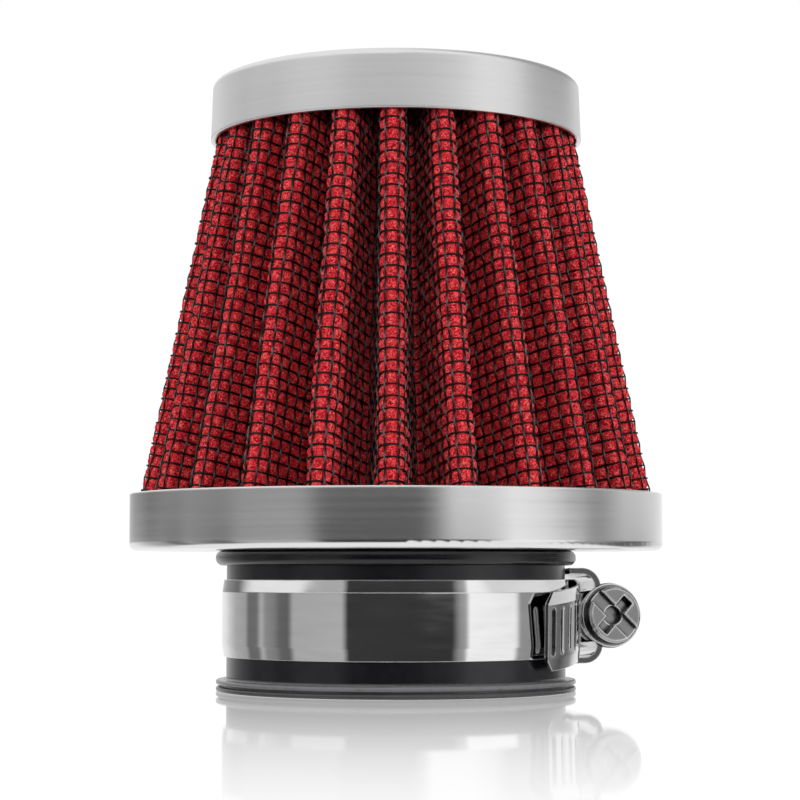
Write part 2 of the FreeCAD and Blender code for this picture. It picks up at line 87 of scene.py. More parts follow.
# The wire cloth outside, and the coarser cloth inside.
CELLS_ROUND = 300
CELL_HEIGHT = 1.6 * MM
WIRE_RADIUS = 0.145 * MM
INNER_CELLS_ROUND = 184
INNER_CELL_HEIGHT = 2.4 * MM
WIRE_SIDES = 4
WEAVE_DEPTH = 0.9 * WIRE_RADIUS

# How unevenly the wires lie: each one's shift and its sway along its length, in cells, and the sway's pace in
# radians for each half cell. The phase factors keep neighbouring wires out of step.
WIRE_SHIFT = 0.05
UPRIGHT_SWAY, UPRIGHT_PACE, UPRIGHT_PHASE = 0.05, 0.37, 5
ROUND_SWAY, ROUND_PACE, ROUND_PHASE = 0.06, 0.21, 40

# How much of the cloth's ends the resin hides, and how far past the pack's slope its rows are counted.
FOOT_HIDDEN = 0.4 * MM
HEAD_HIDDEN = 1.2 * MM
ROWS_BEYOND = 3 * MM

# How strong the painted glint on a crown of the weave is, and how sharply that falls off from the crown's
# top.
GLINT_RANGE = (0.2, 1.0)
GLINT_FALL = 3

# A point this near a height counts as on it.
RIM_TOLERANCE = 0.02 * MM


# ---------------------------------------------------------------- frame measurements

def node_points(node):
    """The points of a CAD node, one a row."""
    mesh = frame["nodes"][node].data
    points = np.empty(len(mesh.vertices) * 3)
    mesh.vertices.foreach_get("co", points)
    return points.reshape(-1, 3)


def rim_radii(node, level):
    """The smallest and largest distance from the axis of a node's points at a height."""
    points = node_points(node)
    near = points[np.abs(points[:, 2] - level) < RIM_TOLERANCE]
    radii = np.hypot(near[:, 0], near[:, 1])
    return radii.min(), radii.max()


SCREW_AXIS = next(tuple(joint["axis"]) for joint in frame["joints"] if joint["name"] == "screw_turn")
PACK_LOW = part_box("outer_wire_mesh")[0].z
PACK_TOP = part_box("outer_wire_mesh")[1].z
FOLD_LOW_INNER, RIDGE_LOW = rim_radii("outer_wire_mesh", PACK_LOW)
FOLD_TOP_INNER, RIDGE_TOP = rim_radii("outer_wire_mesh", PACK_TOP)
FOLD_LOW = FOLD_LOW_INNER + MESH_THICKNESS
FOLD_TOP = FOLD_TOP_INNER + MESH_THICKNESS
LEAN = (RIDGE_LOW - RIDGE_TOP) / (PACK_TOP - PACK_LOW)
LEAN_COSINE = math.cos(math.atan(LEAN))
CLOTH_LOW = PACK_LOW + FOOT_HIDDEN
CLOTH_TOP = PACK_TOP - HEAD_HIDDEN


# ---------------------------------------------------------------- mesh helpers

def new_piece(name, points, faces, body, material):
    """A smooth-shaded object from arrays of points and equal-sized faces, riding on a CAD body."""
    mesh = bpy.data.meshes.new(name)
    points = np.asarray(points, np.float32)
    faces = np.asarray(faces, np.int32)
    mesh.vertices.add(len(points))
    mesh.vertices.foreach_set("co", points.ravel())
    mesh.loops.add(faces.size)
    mesh.loops.foreach_set("vertex_index", faces.ravel())
    mesh.polygons.add(len(faces))
    mesh.polygons.foreach_set("loop_start", np.arange(0, faces.size, faces.shape[1], dtype=np.int32))
    mesh.polygons.foreach_set("use_smooth", np.full(len(faces), True))
    mesh.update(calc_edges=True)
    mesh.validate()
    piece = bpy.data.objects.new(name, mesh)
    bpy.context.scene.collection.objects.link(piece)
    mesh.materials.append(material)
    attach(piece, body)
    return piece


def tubes(paths, closed):
    """Wires along paths, an array of wires by points by three; returns points and four-sided faces."""
    ahead = np.roll(paths, -1, axis=1)
    behind = np.roll(paths, 1, axis=1)
    if not closed:
        ahead[:, -1] = paths[:, -1]
        behind[:, 0] = paths[:, 0]
    along = ahead - behind
    along /= np.linalg.norm(along, axis=2, keepdims=True)
    outward = paths * np.array([1.0, 1.0, 0.0])
    across = np.cross(along, outward)
    across /= np.linalg.norm(across, axis=2, keepdims=True)
    lift = np.cross(across, along)
    angles = (np.arange(WIRE_SIDES) + 0.5) * 2 * math.pi / WIRE_SIDES
    sideways = WIRE_RADIUS * np.cos(angles)[:, None] * across[:, :, None, :]
    upward = WIRE_RADIUS * np.sin(angles)[:, None] * lift[:, :, None, :]
    rings = paths[:, :, None, :] + sideways + upward
    wires, count = paths.shape[:2]
    index = np.arange(wires * count * WIRE_SIDES).reshape(wires, count, WIRE_SIDES)
    following = np.roll(index, -1, axis=1)
    if not closed:
        index, following = index[:, :-1], following[:, :-1]
    faces = np.stack([index, np.roll(index, -1, axis=2), np.roll(following, -1, axis=2), following], axis=-1)
    return rings.reshape(-1, 3), faces.reshape(-1, 4)


def sheet_faces(columns, rows):
    """Faces of a grid that closes on itself round the axis."""
    index = np.arange(columns * rows).reshape(columns, rows)
    beside = np.roll(index, -1, axis=0)
    return np.stack([index[:, :-1], beside[:, :-1], beside[:, 1:], index[:, 1:]], axis=-1).reshape(-1, 4)


# ---------------------------------------------------------------- pleated surface

OUTWARD_PHASES, BEARING_PHASES = np.random.default_rng(SEED).uniform(0, 2 * math.pi, (2, len(STRAY_WAVES)))


def stray(turn, share, phases):
    """A slow wave round the pack that drifts with height, between -1 and 1."""
    total = 0.0
    for phase, waves in zip(phases, STRAY_WAVES):
        drift = STRAY_DRIFT * share * math.sin(phase)
        total = total + np.sin(2 * math.pi * waves * turn / PLEATS + phase + drift)
    return total / len(STRAY_WAVES)


def pleat_point(turn, level, lift):
    """A point of the pack.

    turn counts pleats round the axis from one fold, level is the height, lift is the distance above the outer
    face of the pack. All three are arrays of one shape. Half a pleat is the ridge's arc, a straight flank and
    the fold's arc; the other half mirrors it.
    """
    share = (level - PACK_LOW) / (PACK_TOP - PACK_LOW)
    free = np.sin(math.pi * np.clip(share, 0, 1))
    ridge_centre = RIDGE_LOW + (RIDGE_TOP - RIDGE_LOW) * share - RIDGE_ROUND
    ridge_centre = ridge_centre + free * RIDGE_STRAY * (stray(turn, share, OUTWARD_PHASES) - 0.5)
    fold_centre = FOLD_LOW + (FOLD_TOP - FOLD_LOW) * share + FOLD_ROUND
    half_step = math.pi / PLEATS
    across = fold_centre * math.sin(half_step)
    along = fold_centre * math.cos(half_step) - ridge_centre
    reach = np.hypot(along, across)
    normal = np.arctan2(across, along) - np.arccos((RIDGE_ROUND + FOLD_ROUND) / reach)

    fold_length = FOLD_ROUND * np.abs(normal - half_step)
    flank_length = np.sqrt(reach ** 2 - (RIDGE_ROUND + FOLD_ROUND) ** 2)
    ridge_length = RIDGE_ROUND * normal
    half_length = fold_length + flank_length + ridge_length

    pleat = np.floor(turn)
    place = (turn - pleat) * 2 - 1
    side = np.where(place < 0, -1.0, 1.0)
    travel = np.abs(place) * half_length

    ridge_angle = travel / RIDGE_ROUND
    fold_angle = normal + math.pi - np.clip((travel - ridge_length - flank_length) / FOLD_ROUND, 0, None)
    flank_share = (travel - ridge_length) / flank_length
    normal_x, normal_y = np.cos(normal), np.sin(normal)
    start_x, start_y = ridge_centre + RIDGE_ROUND * normal_x, RIDGE_ROUND * normal_y
    finish_x = fold_centre * math.cos(half_step) - FOLD_ROUND * normal_x
    finish_y = across - FOLD_ROUND * normal_y

    on_ridge = travel <= ridge_length
    on_fold = travel > ridge_length + flank_length
    x = np.select([on_ridge, on_fold],
                  [ridge_centre + RIDGE_ROUND * np.cos(ridge_angle),
                   fold_centre * math.cos(half_step) + FOLD_ROUND * np.cos(fold_angle)],
                  start_x + (finish_x - start_x) * flank_share)
    y = np.select([on_ridge, on_fold],
                  [RIDGE_ROUND * np.sin(ridge_angle), across + FOLD_ROUND * np.sin(fold_angle)],
                  start_y + (finish_y - start_y) * flank_share)
    nx = np.select([on_ridge, on_fold], [np.cos(ridge_angle), -np.cos(fold_angle)], normal_x)
    ny = np.select([on_ridge, on_fold], [np.sin(ridge_angle), -np.sin(fold_angle)], normal_y)
    y, ny = y * side, ny * side
    x, y = x + nx * lift, y + ny * lift

    bearing = (pleat + 0.5) * 2 * half_step + math.radians(RIDGE_BEARING - 90.0) - half_step
    bearing = bearing + free * math.radians(BEARING_STRAY) * stray(turn, share, BEARING_PHASES)
    cos, sin = np.cos(bearing), np.sin(bearing)
    return np.stack([x * cos - y * sin, x * sin + y * cos, level], axis=-1)


def cloth_point(turn, distance, lift):
    """A point of a cloth at a distance up the leaning ridges.

    The cloth's rows stay square to the ridges, so they dip into the folds.
    """
    ridge_level = PACK_LOW + distance * LEAN_COSINE
    flat = pleat_point(turn, np.clip(ridge_level, PACK_LOW, PACK_TOP), np.zeros_like(lift))
    ridge_radius = RIDGE_LOW - LEAN * (ridge_level - PACK_LOW)
    level = ridge_level - LEAN * (ridge_radius - np.hypot(flat[..., 0], flat[..., 1]))
    return pleat_point(turn, np.clip(level, CLOTH_LOW, CLOTH_TOP), lift)


def cloth_rows(cell_height):
    """How many rows of cells cover the pack, counted up its slope."""
    return int((PACK_TOP - PACK_LOW + ROWS_BEYOND) / (cell_height * LEAN_COSINE))


def weave(column, row):
    """1 where the upright wire passes over the level one, -1 where it passes under."""
    return np.where((column + row) % 2 == 0, 1.0, -1.0)


def make_wire_cloth(names, replaced, material, cells, cell_height, depth):
    """Upright and level wires woven over and under each other."""
    rng = np.random.default_rng(SEED + cells)
    rows = cloth_rows(cell_height)
    column_shift = rng.normal(0, WIRE_SHIFT, cells)
    row_shift = rng.normal(0, WIRE_SHIFT, rows + 1)

    column, half_row = np.meshgrid(np.arange(cells), np.arange(0, 2 * rows + 1), indexing="ij")
    swing = np.where(half_row % 2 == 0, weave(column, half_row // 2), 0.0)
    sway = UPRIGHT_SWAY * np.sin(UPRIGHT_PACE * half_row + UPRIGHT_PHASE * column_shift[column] * column)
    turn = ((column + column_shift[column] + sway) / cells * PLEATS) % PLEATS
    paths = cloth_point(turn, half_row / 2 * cell_height, WEAVE_DEPTH * swing - depth)
    upright = new_piece(names[0], *tubes(paths, closed=False), "filter", material)

    # The attribute holds a painted glint, a painted highlight that is highest on the outer side of each
    # crown.
    outer_side = np.arange(WIRE_SIDES) < WIRE_SIDES / 2
    shine = np.clip(swing, 0, 1) ** GLINT_FALL * rng.uniform(*GLINT_RANGE, swing.shape)
    painted_glint = upright.data.attributes.new("painted_glint", "FLOAT", "POINT")
    painted_glint.data.foreach_set("value", (shine[:, :, None] * outer_side).astype(np.float32).ravel())

    row, half_column = np.meshgrid(np.arange(0, rows + 1), np.arange(2 * cells), indexing="ij")
    swing = np.where(half_column % 2 == 0, -weave(half_column // 2, row), 0.0)
    sway = ROUND_SWAY * np.sin(ROUND_PACE * half_column + ROUND_PHASE * row_shift[row])
    turn = (half_column / 2 / cells * PLEATS) % PLEATS
    paths = cloth_point(turn, (row + row_shift[row] + sway) * cell_height, WEAVE_DEPTH * swing - depth)
    level = new_piece(names[1], *tubes(paths, closed=True), "filter", material)
    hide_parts(replaced)


def make_outer_gauze(material):
    """The ply that shows: cotton that puffs out through every cell of the wire cloth."""
    rng = np.random.default_rng(SEED)
    wire_rows = cloth_rows(CELL_HEIGHT)
    columns, rows = CELLS_ROUND * GAUZE_SAMPLES, wire_rows * GAUZE_SAMPLES + 1
    column, row = np.meshgrid(np.arange(columns), np.arange(rows), indexing="ij")
    column, row = column / GAUZE_SAMPLES, row / GAUZE_SAMPLES
    cell_puff = rng.uniform(*PUFF_RANGE, (CELLS_ROUND, wire_rows + 1))[column.astype(int), row.astype(int)]
    pillow = np.abs(np.sin(math.pi * column) * np.sin(math.pi * row)) ** PUFF_FULLNESS
    lift = -GAUZE_DEPTH + PUFF * pillow * cell_puff + rng.uniform(-GAUZE_FUZZ, GAUZE_FUZZ, column.shape)
    turn = (column / CELLS_ROUND * PLEATS) % PLEATS
    points = cloth_point(turn, row * CELL_HEIGHT, lift).reshape(-1, 3)
    gauze = new_piece("gauze_outer", points, sheet_faces(columns, rows), "filter", material)
    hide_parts("gauze_ply_1")


def make_inner_gauze(material):
    """The plies behind, as one soft sheet with both of its faces and its two rims."""
    rng = np.random.default_rng(SEED + 1)
    columns = INNER_CELLS_ROUND * BACKING_SAMPLES * 2
    rows = cloth_rows(INNER_CELL_HEIGHT) * BACKING_SAMPLES + 1
    column, row = np.meshgrid(np.arange(columns), np.arange(rows), indexing="ij")
    turn, row = column / columns * PLEATS, row / BACKING_SAMPLES
    layers = []
    for depth in BACKING_DEPTHS:
        lift = rng.uniform(-BACKING_FUZZ, BACKING_FUZZ, turn.shape) - depth
        layers.append(cloth_point(turn, row * INNER_CELL_HEIGHT, lift).reshape(-1, 3))

    outer = sheet_faces(columns, rows)
    second = columns * rows
    index = np.arange(second).reshape(columns, rows)
    rims = []
    for rim, order in ((index[:, 0], 1), (index[:, -1], -1)):
        beside = np.roll(rim, -1)
        rims.append(np.stack([rim, rim + second, beside + second, beside], axis=-1)[:, ::order])
    faces = np.concatenate([outer, outer[:, ::-1] + second] + rims)
    gauze = new_piece("gauze_backing", np.concatenate(layers), faces, "filter", material)
    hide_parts("gauze_ply_2", "gauze_ply_3", "gauze_ply_4")


# ---------------------------------------------------------------- materials

BEVEL_SAMPLES = 6


def new_material(name):
    """A material with its node tree and its principled shader."""
    material = bpy.data.materials.new(name)
    material.use_nodes = True
    tree = material.node_tree
    return material, tree, tree.nodes["Principled BSDF"]


def add_noise(tree, scale, detail, stretch=None):
    """Noise fixed to the object; stretch is its scale along each axis."""
    noise = tree.nodes.new("ShaderNodeTexNoise")
    noise.inputs["Scale"].default_value = scale
    noise.inputs["Detail"].default_value = detail
    coordinates = tree.nodes.new("ShaderNodeTexCoord")
    mapping = tree.nodes.new("ShaderNodeMapping")
    if stretch:
        mapping.inputs["Scale"].default_value = stretch
    tree.links.new(coordinates.outputs["Object"], mapping.inputs["Vector"])
    tree.links.new(mapping.outputs["Vector"], noise.inputs["Vector"])
    return noise


def full_colour(colour):
    """Four numbers from three, or from one for a grey."""
    return (*colour, 1.0) if isinstance(colour, tuple) else (colour, colour, colour, 1.0)


def add_ramp(tree, source, stops):
    """A ramp from (position, colour) pairs."""
    ramp = tree.nodes.new("ShaderNodeValToRGB")
    while len(ramp.color_ramp.elements) < len(stops):
        ramp.color_ramp.elements.new(0.5)
    for element, (position, colour) in zip(ramp.color_ramp.elements, stops):
        element.position = position
        element.color = full_colour(colour)
    tree.links.new(source, ramp.inputs["Fac"])
    return ramp


def add_bump(tree, shader, height, strength, distance, rounding=0.0):
    """Bump on a shader; rounding softens the look of the edges by that radius."""
    bump = tree.nodes.new("ShaderNodeBump")
    bump.inputs["Strength"].default_value = strength
    bump.inputs["Distance"].default_value = distance
    tree.links.new(height, bump.inputs["Height"])
    if rounding:
        bevel = tree.nodes.new("ShaderNodeBevel")
        bevel.samples = BEVEL_SAMPLES
        bevel.inputs["Radius"].default_value = rounding
        tree.links.new(bevel.outputs["Normal"], bump.inputs["Normal"])
    tree.links.new(bump.outputs["Normal"], shader.inputs["Normal"])


def add_math(tree, operation, *values):
    """The result of a sum on sockets and plain numbers."""
    node = tree.nodes.new("ShaderNodeMath")
    node.operation = operation
    for socket, value in zip(node.inputs, values):
        if isinstance(value, (int, float)):
            socket.default_value = value
        else:
            tree.links.new(value, socket)
    return node.outputs["Value"]


def add_step(tree, value, low, high, start=0.0, finish=1.0):
    """A smooth change from start to finish while value goes from low to high."""
    node = tree.nodes.new("ShaderNodeMapRange")
    node.interpolation_type = "SMOOTHSTEP"
    tree.links.new(value, node.inputs["Value"])
    for name, number in (("From Min", low), ("From Max", high), ("To Min", start), ("To Max", finish)):
        node.inputs[name].default_value = number
    return node.outputs["Result"]


def add_mix(tree, share, first, second):
    """A colour that goes from first to second, a plain colour, as share goes from 0 to 1."""
    mix = tree.nodes.new("ShaderNodeMixRGB")
    tree.links.new(share, mix.inputs["Fac"])
    tree.links.new(first, mix.inputs["Color1"])
    mix.inputs["Color2"].default_value = full_colour(second)
    return mix.outputs["Color"]


def add_level(tree):
    """Height on the object."""
    coordinates = tree.nodes.new("ShaderNodeTexCoord")
    split = tree.nodes.new("ShaderNodeSeparateXYZ")
    tree.links.new(coordinates.outputs["Object"], split.inputs["Vector"])
    return split.outputs["Z"]


def add_direction(tree):
    """The way the surface faces, on the object's own axes."""
    return tree.nodes.new("ShaderNodeTexCoord").outputs["Normal"]


def add_likeness(tree, direction, other):
    """Dot product of a direction with another direction, or with three plain numbers."""
    dot = tree.nodes.new("ShaderNodeVectorMath")
    dot.operation = "DOT_PRODUCT"
    tree.links.new(direction, dot.inputs[0])
    if isinstance(other, tuple):
        dot.inputs[1].default_value = other
    else:
        tree.links.new(other, dot.inputs[1])
    return dot.outputs["Value"]


def edge_share(tree, radius):
    """1 on an edge, falling to 0 a radius away from it."""
    bevel = tree.nodes.new("ShaderNodeBevel")
    bevel.samples = BEVEL_SAMPLES
    bevel.inputs["Radius"].default_value = radius
    flat = tree.nodes.new("ShaderNodeNewGeometry").outputs["Normal"]
    return add_step(tree, add_likeness(tree, bevel.outputs["Normal"], flat), 0.92, 0.997, 1.0, 0.0)


def gauze_material():
    """Matt red cotton with light and dark fibres."""
    material, tree, shader = new_material("red_gauze")
    fibres = add_noise(tree, 3000, 6)
    fibres.inputs["Distortion"].default_value = 1.4
    ramp = add_ramp(tree, fibres.outputs["Fac"], [
        (0.34, (0.17, 0.001, 0.010)), (0.50, (0.76, 0.015, 0.033)), (0.63, (1.0, 0.17, 0.15))])
    tree.links.new(ramp.outputs["Color"], shader.inputs["Base Color"])
    shader.inputs["Roughness"].default_value = 0.9
    shader.inputs["Specular IOR Level"].default_value = 0.2
    shader.inputs["Sheen Weight"].default_value = 0.15
    shader.inputs["Sheen Tint"].default_value = (1.0, 0.3, 0.25, 1.0)
    add_bump(tree, shader, fibres.outputs["Fac"], 1.0, 0.25 * MM)
    return material


def wire_material(name, low, high, glint_grey, roughness, metallic):
    """Wire between two greys, with a third grey painted on the crowns of the weave as a glint."""
    material, tree, shader = new_material(name)
    grain = add_noise(tree, 900, 3)
    ramp = add_ramp(tree, grain.outputs["Fac"], [(0.35, low), (0.75, high)])
    painted_glint = tree.nodes.new("ShaderNodeAttribute")
    painted_glint.attribute_name = "painted_glint"
    # Painted glint: a lighter grey is mixed in where the attribute is set.
    colour = add_mix(tree, painted_glint.outputs["Fac"], ramp.outputs["Color"], glint_grey)
    tree.links.new(colour, shader.inputs["Base Color"])
    shader.inputs["Roughness"].default_value = roughness
    shader.inputs["Specular IOR Level"].default_value = 0.18
    shader.inputs["Metallic"].default_value = metallic
    return material


def satin_material(name, roughness):
    """Satin metal, brushed round the axis."""
    material, tree, shader = new_material(name)
    brushed = add_noise(tree, 25, 4, stretch=(1.0, 1.0, 60.0))
    ramp = add_ramp(tree, brushed.outputs["Fac"], [(0.3, 0.775), (0.7, 0.815)])
    rough = add_ramp(tree, brushed.outputs["Fac"], [(0.3, roughness * 0.9), (0.7, roughness * 1.1)])
    tree.links.new(ramp.outputs["Color"], shader.inputs["Base Color"])
    tree.links.new(rough.outputs["Color"], shader.inputs["Roughness"])
    shader.inputs["Metallic"].default_value = 1.0
    add_bump(tree, shader, brushed.outputs["Fac"], 0.02, 0.02 * MM, 0.3 * MM)
    return material


def steel_material(name, base, roughness, edge_width=0.0, shaded_direction=None):
    """Bright steel, a little scuffed, with soft edges; if edge_width is given, with painted shade in its
    corners and along a given direction, and painted highlights on its edges.
    """
    material, tree, shader = new_material(name)
    scuffs = add_noise(tree, 150, 5, stretch=(1.0, 1.0, 5.0))
    rough = add_ramp(tree, scuffs.outputs["Fac"], [(0.3, roughness * 0.7), (0.7, roughness * 1.4)])
    tint = add_ramp(tree, scuffs.outputs["Fac"], [(0.3, base * 0.94), (0.7, base * 1.03)])
    colour = tint.outputs["Color"]
    if edge_width:
        colour = add_painted_light(tree, colour, edge_width, shaded_direction)
    tree.links.new(rough.outputs["Color"], shader.inputs["Roughness"])
    tree.links.new(colour, shader.inputs["Base Color"])
    shader.inputs["Metallic"].default_value = 1.0
    add_bump(tree, shader, scuffs.outputs["Fac"], 0.05, 0.02 * MM, 0.15 * MM)
    return material


def add_painted_light(tree, colour, edge_width, shaded_direction):
    """A colour with painted shade that darkens its corners and painted highlights on its open edges; the last
    argument, if given, is the direction that the faces painted dark as shade look in.
    """
    # The colours of the painted shade in corners, of the faces painted dark as shade, and of the painted
    # highlight on edges.
    painted_shade, painted_dark, bright = 0.01, 0.09, 0.95
    # Painted shade: where ambient occlusion finds the surface closed in, the colour goes near black.
    corners = tree.nodes.new("ShaderNodeAmbientOcclusion")
    corners.inputs["Distance"].default_value = 0.9 * MM
    openness = corners.outputs["AO"]
    colour = add_mix(tree, add_step(tree, openness, 0.35, 0.95, 0.92, 0.0), colour, painted_shade)
    # Painted shade: faces that look along the given direction are painted dark.
    if shaded_direction:
        likeness = add_math(tree, "ABSOLUTE", add_likeness(tree, add_direction(tree), shaded_direction))
        colour = add_mix(tree, add_step(tree, likeness, 0.93, 0.98), colour, painted_dark)
    # Painted highlight: open edges are painted near white.
    painted_light_share = add_math(tree, "MULTIPLY", edge_share(tree, edge_width), add_step(tree, openness, 0.55, 0.8))
    return add_mix(tree, painted_light_share, colour, bright)


def rubber_material():
    """Black rubber, with painted light on the rings round its end: the upper ring is painted greyer than the
    rest, the lower one a third as much.
    """
    material, tree, shader = new_material("neck_rubber")
    grain = add_noise(tree, 700, 4)
    ramp = add_ramp(tree, grain.outputs["Fac"], [(0.3, (0.003, 0.003, 0.005)), (0.7, (0.008, 0.008, 0.011))])
    level = add_level(tree)
    # Painted light: the rings round the end are painted grey where they catch the light, fully on the upper
    # ring and a third as much below it.
    over = add_step(tree, level, 0.75 * MM, 1.0 * MM, 0.3, 1.0)
    ring = add_math(tree, "MULTIPLY", over, add_step(tree, level, 1.6 * MM, 2.0 * MM, 1.0, 0.0))
    painted_light_share = add_math(tree, "MULTIPLY", ring, add_step(tree, grain.outputs["Fac"], 0.2, 0.5, 0.75, 1.0))
    colour = add_mix(tree, painted_light_share, ramp.outputs["Color"], (0.16, 0.16, 0.165))
    tree.links.new(colour, shader.inputs["Base Color"])
    shader.inputs["Roughness"].default_value = 0.24
    shader.inputs["Specular IOR Level"].default_value = 0.5
    add_bump(tree, shader, grain.outputs["Fac"], 0.08, 0.03 * MM)
    return material


def resin_material():
    """Black cast resin, a little cloudy."""
    material, tree, shader = new_material("cast_resin")
    cloud = add_noise(tree, 200, 3)
    ramp = add_ramp(tree, cloud.outputs["Fac"], [(0.3, (0.012, 0.012, 0.013)), (0.7, (0.025, 0.025, 0.027))])
    tree.links.new(ramp.outputs["Color"], shader.inputs["Base Color"])
    shader.inputs["Roughness"].default_value = 0.5
    return material


def paint_node(node, material, crease):
    """Gives a CAD node its material, shaded smooth except across edges sharper than crease degrees."""
    mesh = frame["nodes"][node].data
    mesh.materials.clear()
    mesh.materials.append(material)
    mesh.polygons.foreach_set("use_smooth", np.full(len(mesh.polygons), True))
    mesh.set_sharp_from_angle(angle=math.radians(crease))


# ---------------------------------------------------------------- studio

# The camera: where it stands, how far it looks up in degrees, and its lens in millimetres.
CAMERA_PLACE = (0.58 * MM, -323.7 * MM, 16.7 * MM)
CAMERA_RISE = 4.29
CAMERA_LENS = 102.7

# The white that the camera sees behind and under the object, a little over full.
WHITE = 1.02


def make_camera():
    camera = bpy.data.objects.new("camera", bpy.data.cameras.new("camera"))
    bpy.context.scene.collection.objects.link(camera)
    camera.data.sensor_width = 36.0
    camera.data.lens = CAMERA_LENS
    camera.location = CAMERA_PLACE
    camera.rotation_euler = (math.radians(90 + CAMERA_RISE), 0.0, 0.0)
    camera.data.clip_start = 0.01
    camera.data.clip_end = 20.0
    bpy.context.scene.camera = camera


def blend_values(tree, share, low, high):
    """low where share is 0, high where it is 1."""
    return add_math(tree, "ADD", add_math(tree, "MULTIPLY", high, share),
                    add_math(tree, "MULTIPLY", low, add_math(tree, "SUBTRACT", 1.0, share)))


def mix_shaders(tree, share, first, second):
    """A shader that goes from first to second as share goes from 0 to 1."""
    mix = tree.nodes.new("ShaderNodeMixShader")
    tree.links.new(share, mix.inputs["Fac"])
    tree.links.new(first, mix.inputs[1])
    tree.links.new(second, mix.inputs[2])
    return mix.outputs["Shader"]


def make_floor():
    """A white glossy sweep: white to the camera, with the object's reflection in it fading outwards."""
    size = 3.0
    level = -0.02 * MM
    mesh = bpy.data.meshes.new("floor")
    mesh.from_pydata([(-size, -size, level), (size, -size, level), (size, size, level), (-size, size, level)],
                     [], [(0, 1, 2, 3)])
    floor = bpy.data.objects.new("floor", mesh)
    bpy.context.scene.collection.objects.link(floor)
    material = bpy.data.materials.new("floor")
    material.use_nodes = True
    tree = material.node_tree
    tree.nodes.clear()
    output = tree.nodes.new("ShaderNodeOutputMaterial")

    # White, with a painted shadow that dims it under the object where it is looked at from above.
    facing = tree.nodes.new("ShaderNodeLayerWeight")
    facing.inputs["Blend"].default_value = 0.5
    grazing = add_math(tree, "POWER", facing.outputs["Facing"], 8.0)
    shade = tree.nodes.new("ShaderNodeAmbientOcclusion")
    shade.inputs["Distance"].default_value = 15 * MM
    dimming = add_math(tree, "MULTIPLY", add_math(tree, "SUBTRACT", 1.0, shade.outputs["AO"]),
                       add_math(tree, "SUBTRACT", 1.0, grazing))
    white = tree.nodes.new("ShaderNodeEmission")
    tree.links.new(add_math(tree, "SUBTRACT", WHITE, add_math(tree, "MULTIPLY", dimming, 0.4)),
                   white.inputs["Strength"])

    # A reflection at grazing angles, which fades with distance from the object.
    place = tree.nodes.new("ShaderNodeNewGeometry").outputs["Position"]
    reach = tree.nodes.new("ShaderNodeVectorMath")
    reach.operation = "LENGTH"
    tree.links.new(place, reach.inputs[0])
    fading = add_step(tree, reach.outputs["Value"], 10 * MM, 222 * MM, 1.08, 0.0)
    mirror = tree.nodes.new("ShaderNodeBsdfGlossy")
    mirror.inputs["Roughness"].default_value = 0.04
    mirror.inputs["Color"].default_value = (1, 1, 1, 1)
    seen = mix_shaders(tree, add_math(tree, "MULTIPLY", fading, grazing), white.outputs["Emission"],
                       mirror.outputs["BSDF"])

    # To soft light the floor is a dim glow, and polished metal sees the studio through it.
    bounce = tree.nodes.new("ShaderNodeEmission")
    bounce.inputs["Strength"].default_value = 0.3
    light_path = tree.nodes.new("ShaderNodeLightPath")
    lit = mix_shaders(tree, light_path.outputs["Is Camera Ray"], bounce.outputs["Emission"], seen)
    clear = tree.nodes.new("ShaderNodeBsdfTransparent")
    final = mix_shaders(tree, light_path.outputs["Is Glossy Ray"], lit, clear.outputs["BSDF"])
    tree.links.new(final, output.inputs["Surface"])
    mesh.materials.append(material)


# What polished metal sees of the studio: brightness against the angle round the object, in degrees from the
# camera's side towards +X. The low pattern is a little under the horizon, the high one a little over it.
LOW_PANELS = [(-180, 1.25), (-150, 1.1), (-130, 0.6), (-116, 0.5), (-112, 0.21), (-103, 0.22), (-98, 0.62),
              (-94, 0.38), (-86, 0.3), (-81, 0.18), (-74, 0.17), (-70, 0.58), (-35, 0.62), (-31, 0.055),
              (37, 0.05), (42, 0.38), (46, 0.5), (49, 1.35), (84, 1.25), (89, 0.42), (100, 0.4), (110, 0.3),
              (126, 0.12), (140, 0.35), (150, 1.0), (168, 1.2), (180, 1.25)]
HIGH_PANELS = [(-180, 1.33), (-169, 1.33), (-164, 0.7), (-150, 0.42), (-128, 0.2), (-112, 0.32), (-40, 0.33),
               (-34, 0.15), (11, 0.12), (17, 0.45), (24, 1.25), (48, 1.22), (66, 0.9), (78, 0.42), (96, 0.36),
               (112, 0.85), (150, 1.0), (164, 1.2), (169, 1.33), (180, 1.33)]
UPPER_PANELS = [(-180, 1.1), (-90, 1.2), (-50, 1.2), (-20, 1.35), (40, 1.35), (60, 0.95), (100, 1.1),
                (180, 1.1)]
TOP_PANELS = [(-180, 1.2), (84, 1.2), (92, 0.45), (150, 0.45), (158, 1.2), (180, 1.2)]

# From the ground up, each pattern takes over from the one before it between two angles over the horizon.
GROUND = 1.2
PATTERNS = [(-36, -28, LOW_PANELS), (-0.4, 0.6, HIGH_PANELS), (6, 9, UPPER_PANELS), (13, 13.6, LOW_PANELS),
            (18, 20, TOP_PANELS)]


